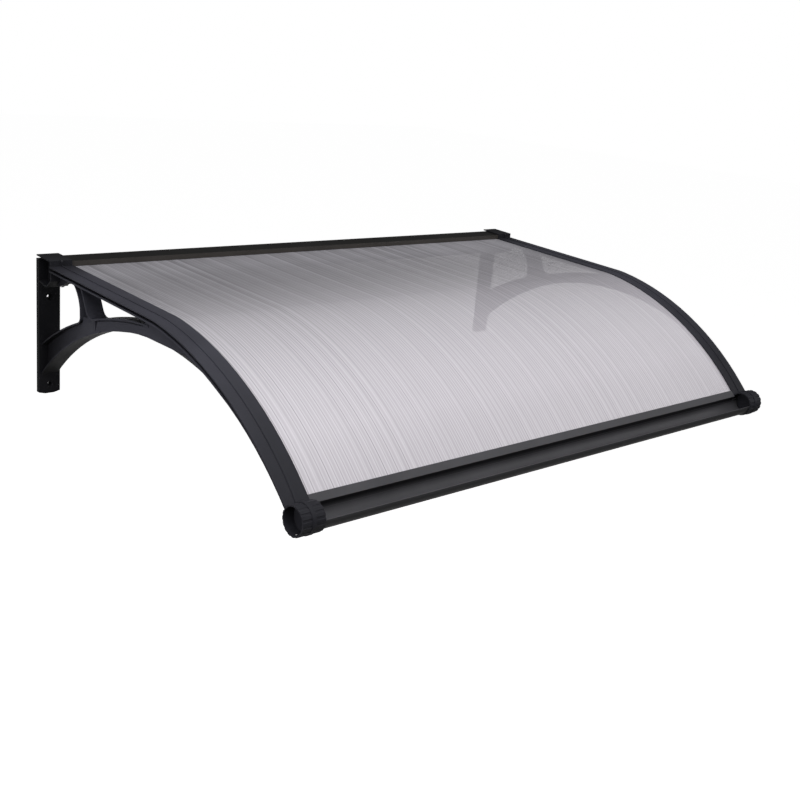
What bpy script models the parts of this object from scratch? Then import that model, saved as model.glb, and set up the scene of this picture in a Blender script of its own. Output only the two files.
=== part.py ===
"""Door canopy: two moulded brackets, a bent twin-wall sheet, a wall rail and a gutter rail.

Frame: the origin is the middle of the left bracket's back face, on the wall.
X runs along the wall to the right bracket, Y points into the wall, Z is up.
Side outlines are lists of (out, up) points, where out is the distance from the wall.
"""

import bpy
import bmesh
from math import acos, asin, atan2, cos, hypot, pi, radians, sin, sqrt, tan
from mathutils import Vector
from mathutils.geometry import tessellate_polygon

# Whole canopy
SPAN = 1.200                    # web to web of the two brackets
FIT = 0.0003                    # gap left between pieces that touch

# Wall plate of a bracket
PLATE_WIDTH = 0.042
PLATE_HEIGHT = 0.2585
PLATE_DEPTH = 0.010
PLATE_CORNER = (0.012, 0.003)   # cut corner at the foot: across, up
PLATE_RIM = 0.0035              # wall left round each pocket in the back
BACK_POCKET_DEPTH = 0.006
HOLE_DIAMETER = 0.008
HOLE_BACK = (0.005, 0.004)      # narrower part at the wall: diameter, length
HOLE_FROM_FOOT = 0.0183
HOLE_SPACING = 0.168
UPPER_RECESS = (0.013, 0.003)   # round seat at the upper hole: diameter, depth
HOLE_BOSS = 0.018               # solid length kept at each hole, behind the plate

# Roof line, followed by the arms and the sheet
ARM_DROP = 0.003                # roof line at the wall, below the top of the plate
ARM_SLOPE = 2.9                 # degrees
STRAIGHT_RUN = 0.398
KNEE_RADIUS = 0.150
KNEE_TURN = 5.5                 # degrees
BEND_RADIUS = 0.593
BEND_TURN = 38.0                # degrees
BEND_STEPS = 14                 # facets of the bend
END_RUN = 0.0423                # straight end, up to the gutter's axis

# Arm section
ARM_WIDTH = 0.047
FLANGE = 0.0025
LOW_FLANGE_WIDTH = (0.0465, 0.034)    # at the wall, at the socket
LOW_FLANGE_TAPER = 0.240        # length of the taper, up to the socket
LOW_FLANGE_POWER = 0.6          # below 1 it narrows early
LOW_FLANGE = 0.0029             # thickness of the lower flange
WEB = 0.005
RIDGE = (0.0036, 0.0016)        # width, height above the arm
RIDGE_FLARE = 0.040             # length over which the ridge widens into the disc
RIDGE_HUMP = (-0.008, -0.004, 0.002, 0.0045)    # its bend over the cap's edge, from that edge

# Sheet
SHEET = 0.0045
SHEET_SIDE_GAP = 0.001          # sheet edge to the arm's web

# Rear pocket and cap
POCKET_WALL = 0.0025
POCKET_OUT = 0.0555
POCKET_SIDE_WIDTH = 0.0415
CAP_WIDTH = 0.043
CAP_THICKNESS = 0.0022
CAP_RISE = 0.0073               # top of the cap at the wall, above the plate
CAP_FALL = 3.3                  # degrees
CAP_BACK = 0.002
# Points of the pocket's outer side: out, below the plate's top
KEEL = ((0.009, 0.0416), (0.030, 0.0470), (0.040, 0.0470), (0.0555, 0.0335))

# Arch rib and strut
ARCH_WIDTH = 0.033
ARCH_RADIUS = 0.540             # its lower edge
ARCH_CROWN_OUT = 0.392
ARCH_CROWN_DROP = 0.0588        # below the roof line at the wall
RIB_DEPTH = 0.022
RIB_ROOT_EXTRA = 0.0235
RIB_TAPER_OUT = 0.276
RIB_TAPER_POWER = 1.6
RIB_FLANGE = 0.003
RIB_BODY_WIDTH = 0.030
BODY_START = 0.206
BODY_OVERLAP = 0.010            # length that the rib's web runs on into the full body
WINDOW_END = 0.380              # front end of the window between arch and arm
GROOVE = (0.0025, 0.005)        # height, depth
GROOVE_SPAN = (0.210, 0.365)    # distances out of its ends
LIP_START = 0.300
LIP_FULL = 0.450
LIP_HEIGHT = 0.0065
LIP_WIDTH = 0.022
LIP_OVERLAP = 1.03              # share of its height that reaches into the body
RAMP_START = 0.045
RAMP_RISE = 0.004               # end of the ramp above the foot of the strut
STRUT_BACK_RADIUS = 0.0655
STRUT_BACK_CENTRE = (0.090, 0.070)    # out, below the roof line at the wall
STRUT_FRONT_TOP = 0.158
STRUT_FRONT_FOOT = 0.186
STRUT_FOOT_RADIUS = 0.012
STRUT_FOOT_RUN = 0.024          # outline kept free for the rounding at the strut's feet
# Points of the gusset's edge: out, below the roof line at the wall
GUSSET = ((0.050, 0.041), (0.073, 0.0335), (0.086, 0.0250), (0.100, 0.0145))
GUSSET_FALL = 0.006             # drop of its edge from the pocket to the wall plate

# Front socket
SOCKET_RISE = 0.001             # socket axis above the roof line
SOCKET_LENGTH = 0.042
SOCKET_RADIUS = 0.0245
SOCKET_WALL = 0.0027
GRIPS = 16
GRIP_DEPTH = 0.0009
DISC_WIDTH = 0.0076
DISC_RADIUS = 0.0253
SOCKET_WEB = 0.003

# Gutter rail
RAIL_WALL = 0.0018
JAW_LENGTH = 0.0127
JAW_STOP = 0.0195               # stop wall's gutter side, from the axis
LOWER_LIP_SHORT = 0.003
GASKET = 0.0014
GUTTER_BEAD = 0.0026
BEAD_ANGLES = (-0.5, -7.0, -9.0)      # degrees: top, foot, back on the wall
ROUND_STEPS = 48

# Wall rail
REAR_RAIL_WALL = 0.0016
REAR_ENGAGE = 0.020

# Fixing screws
SCREW_SHANK = 0.0040
SCREW_LENGTH = 0.012
SCREW_HEAD = (0.0078, 0.0024)
SCREW_IN = 0.0125               # from the bracket's web
SPOT_DEPTH = 0.0012
HEAD_SIDES = 20

# Values that follow from the sizes above
PLATE_TOP = PLATE_HEIGHT / 2
ROOF_AT_WALL = PLATE_TOP - ARM_DROP
SLOT = SHEET + 2 * FIT
LOWER_FLANGE_TOP = FLANGE + SLOT
ARM_DEPTH = LOWER_FLANGE_TOP + LOW_FLANGE
BORE_RADIUS = SOCKET_RADIUS - SOCKET_WALL
RAIL_RADIUS = BORE_RADIUS - FIT
INTO = 0.6                      # share of a wall that a joining solid reaches into it


def clear_scene():
    for item in list(bpy.data.objects):
        bpy.data.objects.remove(item, do_unlink=True)


def material(name, colour, roughness, metallic=0.0, alpha=1.0):
    made = bpy.data.materials.new(name)
    made.use_nodes = True
    shader = made.node_tree.nodes["Principled BSDF"]
    shader.inputs["Base Color"].default_value = (*colour, 1.0)
    shader.inputs["Roughness"].default_value = roughness
    shader.inputs["Metallic"].default_value = metallic
    shader.inputs["Alpha"].default_value = alpha
    made.diffuse_color = (*colour, alpha)
    return made


# The roof line and other curves, as lists of (out, up)

def spread(first, last, count):
    return [first + (last - first) * i / count for i in range(count + 1)]


ROOF_RUNS = (
    (STRAIGHT_RUN, 0.0),
    (KNEE_RADIUS * radians(KNEE_TURN), radians(KNEE_TURN)),
    (BEND_RADIUS * radians(BEND_TURN), radians(BEND_TURN)),
    (END_RUN, 0.0),
)
ROOF_LENGTH = sum(length for length, _ in ROOF_RUNS)


def roof_point(along, depth=0.0):
    """Point at a distance along the roof line, and a depth below it."""
    out, up, heading = 0.0, ROOF_AT_WALL, radians(ARM_SLOPE)
    for length, turn in ROOF_RUNS:
        run = max(0.0, along if length == END_RUN else min(along, length))
        bend = turn * run / length
        chord = 2 * sin(bend / 2) * length / turn if bend else run
        out += chord * cos(heading + bend / 2)
        up -= chord * sin(heading + bend / 2)
        heading += bend
        along -= run
    return (out - depth * sin(heading), up - depth * cos(heading))


SOCKET_AXIS = roof_point(ROOF_LENGTH, -SOCKET_RISE)


def roof_stations(first, last):
    """Distances along the roof line where a piece that follows it has an edge."""
    knee = STRAIGHT_RUN + ROOF_RUNS[1][0]
    bend = ROOF_RUNS[2][0]
    fixed = [STRAIGHT_RUN, *spread(knee, knee + bend, BEND_STEPS)]
    inside = [value for value in fixed if first + FIT < value < last - FIT]
    return [first, *inside, last]


def roof_line(first, last, depth):
    return [roof_point(along, depth) for along in roof_stations(first, last)]


def roof_band(first, last, top, bottom):
    return roof_line(first, last, top) + roof_line(first, last, bottom)[::-1]


def along_at(out):
    """Distance along the roof line of a point on its straight part."""
    return out / cos(radians(ARM_SLOPE))


def roof_up(out, depth):
    """Height of the roof's straight part at a distance out, at a depth below it."""
    return roof_point(along_at(out), depth)[1]


def arc_up(out, lift):
    """Height of the arch's lower edge, lifted outwards along its radius."""
    radius = ARCH_RADIUS + lift
    centre_up = ROOF_AT_WALL - ARCH_CROWN_DROP - ARCH_RADIUS
    return centre_up + sqrt(radius ** 2 - (out - ARCH_CROWN_OUT) ** 2)


def rib_lift(out):
    """Depth of the arch rib, which grows towards the wall."""
    share = max(0.0, 1 - out / RIB_TAPER_OUT)
    return RIB_DEPTH + RIB_ROOT_EXTRA * share ** RIB_TAPER_POWER


def arch_low(first, last, lift=0.0, count=12):
    return [(out, arc_up(out, lift)) for out in spread(first, last, count)]


def arch_top(first, last, count=6):
    return [(out, arc_up(out, rib_lift(out))) for out in spread(first, last, count)]


def below_roof(points):
    return [(out, ROOF_AT_WALL - drop) for out, drop in points]


def circle(centre, radius, steps, first=0.0, turn=2 * pi):
    closed = abs(turn) >= 2 * pi - 1e-9
    count = steps if closed else steps + 1
    angles = [first + turn * i / steps for i in range(count)]
    return [(centre[0] + radius * cos(a), centre[1] + radius * sin(a)) for a in angles]


def offset(path, distance):
    """Open path moved sideways, to its right for a positive distance."""
    moved = []
    for i, point in enumerate(path):
        here = Vector(point)
        before = (here - Vector(path[i - 1])).normalized() if i else None
        after = (Vector(path[i + 1]) - here).normalized() if i + 1 < len(path) else None
        before = before or after
        after = after or before
        normal = (Vector((before.y, -before.x)) + Vector((after.y, -after.x))).normalized()
        reach = distance / max(0.5, normal.dot(Vector((after.y, -after.x))))
        moved.append(tuple(here + normal * reach))
    return moved


def strip(path, thickness):
    return path + offset(path, thickness)[::-1]


def fillet(points, index, radius, steps=5):
    """The path with one corner replaced by an arc."""
    corner = Vector(points[index])
    back = (Vector(points[index - 1]) - corner).normalized()
    ahead = (Vector(points[index + 1]) - corner).normalized()
    half = back.angle(ahead) / 2
    centre = corner + (back + ahead).normalized() * (radius / sin(half))
    first = corner + back * (radius / tan(half)) - centre
    last = corner + ahead * (radius / tan(half)) - centre
    start = atan2(first.y, first.x)
    sweep = (atan2(last.y, last.x) - start + pi) % (2 * pi) - pi
    arc = circle(centre, radius, steps, start, sweep)
    return points[:index] + arc + points[index + 1:]


# Solids

def side_view(across, point):
    return Vector((across, -point[0], point[1]))


def front_view(out, point):
    return Vector((point[0], -out, point[1]))


def plan_view(up, point):
    return Vector((point[0], -point[1], up))


def roof_view(along, point):
    """Place for a section that follows the roof line, with points as (across, depth)."""
    out, up = roof_point(along, point[1])
    return Vector((point[0], -out, up))


def sweep(outline, ends, place, holes=()):
    """Solid through copies of a flat outline. A copy's position may be a function of the point."""
    mesh = bmesh.new()
    loops = [list(outline), *[list(hole) for hole in holes]]
    points = [point for loop in loops for point in loop]
    layers = []
    for end in ends:
        values = [end(point) if callable(end) else end for point in points]
        layers.append([mesh.verts.new(place(value, point)) for value, point in zip(values, points)])
    flat = [[Vector((a, b, 0)) for a, b in loop] for loop in loops]
    for corners in tessellate_polygon(flat):
        for layer in (layers[0], layers[-1]):
            mesh.faces.new([layer[i] for i in corners])
    first = 0
    for loop in loops:
        for i in range(len(loop)):
            a = first + i
            b = first + (i + 1) % len(loop)
            for here, there in zip(layers, layers[1:]):
                mesh.faces.new([here[a], here[b], there[b], there[a]])
        first += len(loop)
    bmesh.ops.recalc_face_normals(mesh, faces=mesh.faces)
    return mesh


def prism(outline, start, end, place=side_view, holes=()):
    return sweep(outline, (start, end), place, holes)


def both_sides(outline, half_width):
    """Solid that spreads equally to both sides of the bracket's middle plane."""
    if callable(half_width):
        return prism(outline, lambda point: -half_width(point), half_width)
    return prism(outline, -half_width, half_width)


def block(x_range, out_range, up_range):
    left, right = x_range
    low, high = up_range
    corners = [(left, low), (right, low), (right, high), (left, high)]
    return prism(corners, *out_range, place=front_view)


def put(name, mesh):
    data = bpy.data.meshes.new(name)
    mesh.to_mesh(data)
    mesh.free()
    made = bpy.data.objects.new(name, data)
    bpy.context.collection.objects.link(made)
    return made


def combine(name, solids, cuts=()):
    """One closed mesh from solids that overlap, with the cuts taken out."""
    body = put(name, solids[0])
    groups = []
    for operation, meshes in (("UNION", solids[1:]), ("DIFFERENCE", cuts)):
        if not meshes:
            continue
        group = bpy.data.collections.new(name + "_" + operation.lower())
        for mesh in meshes:
            helper = put(name + "_helper", mesh)
            bpy.context.collection.objects.unlink(helper)
            group.objects.link(helper)
        step = body.modifiers.new(operation, "BOOLEAN")
        step.operation = operation
        step.solver = "EXACT"
        step.operand_type = "COLLECTION"
        step.collection = group
        groups.append(group)
        body.modifiers.new("triangles", "TRIANGULATE")
    depsgraph = bpy.context.evaluated_depsgraph_get()
    data = bpy.data.meshes.new_from_object(body.evaluated_get(depsgraph))
    bpy.data.objects.remove(body, do_unlink=True)
    for group in groups:
        for helper in list(group.objects):
            bpy.data.objects.remove(helper, do_unlink=True)
        bpy.data.collections.remove(group)
    return data


def finish(name, data, made_of, place=(0, 0, 0)):
    data.materials.clear()
    data.materials.append(made_of)
    data.shade_smooth()
    data.set_sharp_from_angle(angle=radians(20))
    item = bpy.data.objects.new(name, data)
    item.location = place
    bpy.context.collection.objects.link(item)
    return item


# Bracket

def plate_solids():
    half = PLATE_WIDTH / 2
    across, up = PLATE_CORNER
    foot = -PLATE_TOP
    outline = [(-half + across, foot), (half - across, foot), (half, foot + up)]
    outline += [(half, PLATE_TOP), (-half, PLATE_TOP), (-half, foot + up)]
    return [prism(outline, 0, PLATE_DEPTH, place=front_view)]


def hole_heights():
    lower = -PLATE_TOP + HOLE_FROM_FOOT
    return lower, lower + HOLE_SPACING


def plate_cuts():
    """Stepped screw holes, the seat of the upper one, and the pockets in the back."""
    lower, upper = hole_heights()
    past = PLATE_RIM
    cuts = []
    width, length = HOLE_BACK
    for up in (lower, upper):
        cuts.append(prism(circle((0, up), HOLE_DIAMETER / 2, 24), length, PLATE_DEPTH + past, place=front_view))
        cuts.append(prism(circle((0, up), width / 2, 24), -past, PLATE_DEPTH / 2, place=front_view))
    width, depth = UPPER_RECESS
    seat = circle((0, upper), width / 2, 24)
    cuts.append(prism(seat, PLATE_DEPTH - depth, PLATE_DEPTH + past, place=front_view))
    half = PLATE_WIDTH / 2 - PLATE_RIM
    limits = [lower + HOLE_BOSS / 2, -PLATE_RIM, PLATE_RIM, upper - HOLE_BOSS / 2]
    middle = (limits[0] + limits[1]) / 2
    spans = [(limits[0], middle - PLATE_RIM / 2), (middle + PLATE_RIM / 2, limits[1])]
    spans += [(limits[2], limits[3]), (upper + HOLE_BOSS / 2, PLATE_TOP - PLATE_RIM)]
    for low, high in spans:
        cuts.append(block((-half, half), (-past, BACK_POCKET_DEPTH), (low, high)))
    return cuts


def below_plate_top(points):
    return [(out, PLATE_TOP - drop) for out, drop in points]


def keel_path():
    """Outer side of the pocket's floor and front wall, up to the arm's lower flange."""
    return below_plate_top(KEEL) + [(POCKET_OUT, roof_up(POCKET_OUT, LOWER_FLANGE_TOP + FLANGE / 2))]


def cap_top(out):
    return PLATE_TOP + CAP_RISE - out * tan(radians(CAP_FALL))


def cap_solids():
    """Cap over the rear rail, with its front wall down to the arm."""
    inner = POCKET_OUT - POCKET_WALL
    foot = roof_up(POCKET_OUT, FLANGE * 0.8)
    outline = [(CAP_BACK, cap_top(CAP_BACK)), (POCKET_OUT, cap_top(POCKET_OUT)), (POCKET_OUT, foot)]
    outline += [(inner, foot)] + [(out, cap_top(out) - CAP_THICKNESS) for out in (inner, CAP_BACK)]
    return [both_sides(outline, CAP_WIDTH / 2)]


def pocket_solids():
    return [both_sides(strip(keel_path(), -POCKET_WALL), POCKET_SIDE_WIDTH / 2)]


def web_solid():
    """Middle wall of the pocket, the gusset and the arm, in one piece."""
    inner = POCKET_OUT - POCKET_WALL / 2
    end = ROOF_LENGTH - SOCKET_RADIUS + SOCKET_WALL / 2
    gusset = below_roof(GUSSET)
    outline = [(PLATE_DEPTH / 2, PLATE_TOP - POCKET_WALL), (PLATE_DEPTH - FIT, PLATE_TOP - POCKET_WALL)]
    outline += [(PLATE_DEPTH - FIT, cap_top(PLATE_DEPTH) - CAP_THICKNESS / 2)]
    outline += [(inner, cap_top(inner) - CAP_THICKNESS / 2)]
    outline += roof_line(along_at(inner), end, FLANGE / 2)
    outline += roof_line(along_at(gusset[-1][0]), end, ARM_DEPTH - FLANGE * INTO)[::-1]
    outline += gusset[::-1] + [(PLATE_DEPTH / 2, gusset[0][1] - GUSSET_FALL)]
    return both_sides(outline, WEB / 2)


def ridge_half(point):
    """Half width of the ridge, which widens towards the socket's disc."""
    away = hypot(point[0] - SOCKET_AXIS[0], point[1] - SOCKET_AXIS[1])
    share = max(0.0, 1 - max(0.0, away - DISC_RADIUS) / RIDGE_FLARE)
    return (RIDGE[0] + (DISC_WIDTH - FIT - RIDGE[0]) * share ** 2) / 2


def ridge_solid():
    """Raised line over the cap's front edge and along the middle of the arm."""
    height = RIDGE[1]
    start = along_at(POCKET_OUT + POCKET_WALL)
    end = ROOF_LENGTH - SOCKET_RADIUS + SOCKET_WALL / 3
    edge = POCKET_OUT - POCKET_WALL / 2
    levels = (-CAP_THICKNESS / 2, height / 2, height / 2, -height)
    outline = [(edge + step, cap_top(edge) + level) for step, level in zip(RIDGE_HUMP, levels)]
    outline += roof_line(start, end, -height) + roof_line(start, end, FLANGE * (1 - INTO))[::-1]
    outline += [(edge, roof_point(start, FLANGE * (1 - INTO))[1])]
    return both_sides(outline, ridge_half)


def low_flange_half(point):
    """Half width of the lower flange, which narrows towards the socket."""
    away = hypot(point[0] - SOCKET_AXIS[0], point[1] - SOCKET_AXIS[1])
    share = max(0.0, 1 - away / LOW_FLANGE_TAPER)
    wide, narrow = LOW_FLANGE_WIDTH
    return (wide + (narrow - wide) * share ** LOW_FLANGE_POWER) / 2


def arm_solids():
    start = along_at(POCKET_OUT - POCKET_WALL / 2)
    end = ROOF_LENGTH - SOCKET_RADIUS + SOCKET_WALL / 2
    top = roof_band(start, end, 0, FLANGE)
    low = roof_band(start, end + FLANGE, LOWER_FLANGE_TOP, ARM_DEPTH)
    return [both_sides(top, ARM_WIDTH / 2), both_sides(low, low_flange_half), web_solid(), ridge_solid()]


def strut_back(lowest, highest, count=5):
    """Edge of the strut on the wall side, an arc that leans back towards the wall."""
    centre = (STRUT_BACK_CENTRE[0], ROOF_AT_WALL - STRUT_BACK_CENTRE[1])
    return [
        (centre[0] + sqrt(STRUT_BACK_RADIUS ** 2 - (up - centre[1]) ** 2), up)
        for up in spread(lowest, highest, count)
    ]


def wall_side_path():
    """From the arch's root along its upper edge, round the corner and up the strut."""
    foot_out = STRUT_BACK_CENTRE[0] + STRUT_BACK_RADIUS
    corner = (foot_out, arc_up(foot_out, rib_lift(foot_out)))
    root = arch_top(PLATE_DEPTH * INTO, foot_out - STRUT_FOOT_RUN, 5)
    under_arm = roof_point(along_at(foot_out), ARM_DEPTH - FLANGE / 2)[1]
    rise = strut_back(corner[1] + STRUT_FOOT_RUN, under_arm)
    path = root + [corner] + rise
    return fillet(path, len(root), STRUT_FOOT_RADIUS)


def front_side_path():
    """From under the arm down the strut's front, round its foot and along the arch's top."""
    top = roof_point(along_at(STRUT_FRONT_TOP), ARM_DEPTH - FLANGE / 2)
    foot = (STRUT_FRONT_FOOT, arc_up(STRUT_FRONT_FOOT, rib_lift(STRUT_FRONT_FOOT)))
    crown = arch_top(STRUT_FRONT_FOOT + STRUT_FOOT_RUN * 1.25, WINDOW_END, 9)
    return fillet([top, foot, *crown], 1, STRUT_FOOT_RADIUS * 1.5)


def arch_solids():
    """Curved rib with flanges round a recess at the wall and a full body at the front."""
    half = ARCH_WIDTH / 2
    root = PLATE_DEPTH * INTO
    upper = wall_side_path()
    front = front_side_path()
    low = strip(arch_low(root, BODY_START + 2 * BODY_OVERLAP), -RIB_FLANGE)
    solids = [both_sides(strip(path, RIB_FLANGE), half) for path in (upper, front)]
    solids.append(both_sides(low, half))
    inner_upper = offset(upper, RIB_FLANGE / 2)
    inner_front = offset(front, RIB_FLANGE / 2)
    web = arch_low(root, BODY_START + BODY_OVERLAP, RIB_FLANGE / 2)
    web += [point for point in inner_front if point[0] < BODY_START + BODY_OVERLAP][::-1]
    web += inner_upper[::-1]
    solids.append(both_sides(web, WEB / 2))
    return solids + [ramp_solid(upper, front), body_solid(front), *lip_solids()]


def ramp_solid(upper, front):
    """Floor of the recess, which rises from the web to the full width at the strut."""
    full = (RIB_BODY_WIDTH - FIT / 5) / 2
    least = WEB * (1 - INTO)

    def half(point):
        share = (point[0] - RAMP_START) / (BODY_START - RAMP_START)
        return least + (full - least) * min(1.0, max(0.0, share))

    inner = [point for point in offset(upper, RIB_FLANGE / 2) if point[0] > RAMP_START]
    above = arc_up(BODY_START, rib_lift(BODY_START) - RIB_FLANGE / 2)
    foot_level = arc_up(STRUT_FRONT_FOOT, rib_lift(STRUT_FRONT_FOOT))
    inner = [point for point in inner if point[1] < foot_level + RAMP_RISE]
    outline = arch_low(RAMP_START, BODY_START, RIB_FLANGE / 2) + [(BODY_START, above)]
    outline += inner[::-1]
    return both_sides(outline, half)


def body_solid(front):
    """Front part of the arch, up to the arm that it runs into."""
    start = BODY_START - FIT / 2
    low = arch_low(start, LIP_START, 0, 6) + lip_line(1)[1:]
    top = roof_line(roof_near(WINDOW_END), roof_near(low[-1][0]), ARM_DEPTH - FLANGE / 2)
    crown = offset(front, RIB_FLANGE / 2)
    crown = [point for point in crown if start < point[0] < WINDOW_END - FLANGE]
    return both_sides(low + top[::-1] + crown[::-1], RIB_BODY_WIDTH / 2)


def halve(test, low, high):
    """Value between two limits at which the test stops being true."""
    for _ in range(40):
        middle = (low + high) / 2
        low, high = (middle, high) if test(middle) else (low, middle)
    return low


def roof_near(out):
    """Distance along the roof line at which its underside stands this far out."""
    return halve(lambda along: roof_point(along, ARM_DEPTH)[0] < out, 0.0, ROOF_LENGTH)


def arch_meets_arm(share):
    """Distance out at which the arch's lower edge runs into the arm."""
    depth = ARM_DEPTH - FLANGE / 2

    def below(out):
        return arc_up(out, share * lip_height(out)) < roof_point(roof_near(out), depth)[1]

    return halve(below, ARCH_CROWN_OUT, SOCKET_AXIS[0] - SOCKET_RADIUS)


def lip_line(share, count=16):
    """Line along the front part's lower edge, at its foot for a share of 0."""
    outs = spread(LIP_START, arch_meets_arm(share), count)
    return [(out, arc_up(out, share * lip_height(out))) for out in outs]


def lip_height(out):
    share = min(1.0, max(0.0, (out - LIP_START) / (LIP_FULL - LIP_START)))
    return LIP_HEIGHT * share


def lip_solids():
    """Lower edge of the front part, which slants inwards to a narrower underside."""
    low = lip_line(0)
    lowest = set(low[1:])

    def half(point):
        return (LIP_WIDTH if point in lowest else RIB_BODY_WIDTH - FIT) / 2

    return [both_sides(low + lip_line(LIP_OVERLAP)[::-1][:-1], half)]


def groove_cuts():
    """Groove on both sides under the top flange of the arch's front part."""
    height, depth = GROOVE
    line = offset(front_side_path(), RIB_FLANGE)
    start, end = GROOVE_SPAN
    line = [point for point in line if start < point[0] < end]
    outline = strip(line, height)
    half = ARCH_WIDTH / 2
    cuts = []
    for side in (-1, 1):
        cuts.append(prism(outline, side * (half - depth), side * (half + depth)))
    return cuts


def grip_outline():
    """Round outline with raised grips."""
    points = []
    pitch = 2 * pi / GRIPS
    for i in range(GRIPS):
        for share, radius in ((0, SOCKET_RADIUS), (0.5, SOCKET_RADIUS)):
            points += circle(SOCKET_AXIS, radius, 1, (i + share) * pitch, 0.01)[:1]
        for share in (0.6, 0.9):
            points += circle(SOCKET_AXIS, SOCKET_RADIUS - GRIP_DEPTH, 1, (i + share) * pitch, 0.01)[:1]
    return points


def socket_solids():
    grips = prism(grip_outline(), -SOCKET_LENGTH / 2, SOCKET_LENGTH / 2)
    disc = both_sides(circle(SOCKET_AXIS, DISC_RADIUS, ROUND_STEPS), DISC_WIDTH / 2)
    return [grips, disc]


def socket_cuts():
    past = SOCKET_LENGTH
    cuts = []
    for side in (-1, 1):
        bore = circle(SOCKET_AXIS, BORE_RADIUS, ROUND_STEPS)
        cuts.append(prism(bore, side * SOCKET_WEB / 2, side * past))
    return cuts


def screw_places():
    """Seats of the fixing screws: distance out, and height of the surface under the head."""
    keel = below_plate_top(KEEL)
    rear = ((keel[1][0] + keel[2][0]) / 2, keel[1][1])
    front = (SOCKET_AXIS[0], SOCKET_AXIS[1] - SOCKET_RADIUS + SPOT_DEPTH)
    return rear, front


def screw_cuts():
    """Holes for the fixing screws, with a flat seat for each head on the socket."""
    cuts = []
    rear, front = screw_places()
    for side in (-1, 1):
        for out, seat in (rear, front):
            hole = circle((side * SCREW_IN, out), SCREW_SHANK / 2 + FIT, 16)
            cuts.append(prism(hole, seat - SCREW_LENGTH, seat + SCREW_LENGTH / 2, place=plan_view))
        spot = circle((side * SCREW_IN, front[0]), SCREW_HEAD[0] / 2 + 2 * FIT, 20)
        cuts.append(prism(spot, front[1] - SCREW_LENGTH, front[1], place=plan_view))
    return cuts


def bracket_mesh():
    solids = plate_solids() + arm_solids() + cap_solids() + pocket_solids()
    solids += arch_solids() + socket_solids()
    cuts = plate_cuts() + groove_cuts() + socket_cuts() + screw_cuts()
    return combine("bracket", solids, cuts)


# Sheet, rails and gaskets

def rear_stop():
    """Distance out of the sheet's rear edge."""
    return POCKET_OUT - POCKET_WALL - REAR_ENGAGE


def jaw_forward():
    """Direction of the sheet in the gutter's jaw."""
    turn = radians(ARM_SLOPE + KNEE_TURN + BEND_TURN)
    return Vector((cos(turn), -sin(turn)))


def jaw_point(past, depth):
    """Point in the gutter's section: distance past its axis, and depth below the roof line."""
    return roof_point(ROOF_LENGTH + past, depth)


def rectangle(left, right, low, high):
    return [(left, low), (right, low), (right, high), (left, high)]


def sheet_mesh():
    """Bent sheet, with its front corners cut back to clear the sockets."""
    edge = WEB / 2 + SHEET_SIDE_GAP
    top = FLANGE + FIT
    low = top + SHEET
    first = along_at(rear_stop())
    end = ROOF_LENGTH - JAW_STOP - RAIL_WALL - FIT * 4
    main = sweep(rectangle(edge, SPAN - edge, top, low), roof_stations(first, end), roof_view)
    corner = ROOF_LENGTH - SOCKET_RADIUS - FIT * 6
    kept = ARM_WIDTH / 2 + FIT
    cuts = []
    for left, right in ((0, kept), (SPAN - kept, SPAN)):
        notch = rectangle(left, right, top - SHEET, low + SHEET)
        cuts.append(sweep(notch, (corner, end + SHEET), roof_view))
    return combine("sheet", [main], cuts)


def jaw_levels():
    """Depths of the gutter's jaw: over and under its top lip, over and under its bottom lip."""
    under_top = FLANGE
    over_low = FLANGE + FIT + SHEET + GASKET + 2 * FIT
    return under_top - RAIL_WALL, under_top, over_low, over_low + RAIL_WALL


def angle_at(depth):
    """Angle at which the gutter's outside, on its wall side, has this depth below the roof line."""
    forward = jaw_forward()
    return asin((depth + SOCKET_RISE) / RAIL_RADIUS) - pi + atan2(forward.y, forward.x)


def gutter_arc(radius, end, start=0.0, steps=ROUND_STEPS * 2 // 3):
    """Arc about the axis, clockwise from an angle at the gutter's front edge."""
    return circle(SOCKET_AXIS, radius, steps, start, end - start)


def gutter_outline():
    """Open round gutter with a jaw for the sheet on its wall side and a bead at its front edge."""
    top, under_top, over_low, low = jaw_levels()
    stop = -JAW_STOP - RAIL_WALL
    tip = stop - JAW_LENGTH
    inner = RAIL_RADIUS - RAIL_WALL
    forward = jaw_forward()
    inner_end = -pi + atan2(forward.y, forward.x) + acos(JAW_STOP / inner)
    jaw = [(tip + LOWER_LIP_SHORT, low), (tip + LOWER_LIP_SHORT, over_low), (stop, over_low)]
    jaw += [(stop, under_top), (tip, under_top), (tip, top), (-JAW_STOP, top)]
    bead_top, bead_foot, bead_back = (radians(angle) for angle in BEAD_ANGLES)
    inside = gutter_arc(inner, inner_end, bead_back)[::-1]
    bead = gutter_arc(RAIL_RADIUS - GUTTER_BEAD, bead_top, bead_foot, 2)
    return gutter_arc(RAIL_RADIUS, angle_at(low)) + [jaw_point(*point) for point in jaw] + inside + bead


def gutter_tube_outline():
    """The part of the gutter that runs on into the socket, without the jaw."""
    _, _, _, low = jaw_levels()
    end = angle_at(low)
    return gutter_arc(RAIL_RADIUS, end) + gutter_arc(RAIL_RADIUS - RAIL_WALL, end)[::-1]


def gutter_mesh():
    """Gutter rail: the whole section between the arms, the bare gutter inside the sockets."""
    end = WEB / 2 + SHEET_SIDE_GAP
    jaw_end = ARM_WIDTH / 2 + FIT
    main = prism(gutter_outline(), jaw_end, SPAN - jaw_end)
    left = prism(gutter_tube_outline(), end, jaw_end + RAIL_WALL)
    right = prism(gutter_tube_outline(), SPAN - end, SPAN - jaw_end - RAIL_WALL)
    _, front = screw_places()
    cuts = []
    for x in (SCREW_IN, SPAN - SCREW_IN):
        hole = circle((x, front[0]), SCREW_SHANK / 2 + FIT, 16)
        cuts.append(prism(hole, front[1] - SCREW_LENGTH, front[1] + SCREW_LENGTH, place=plan_view))
    return combine("gutter", [main, left, right], cuts)


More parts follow.
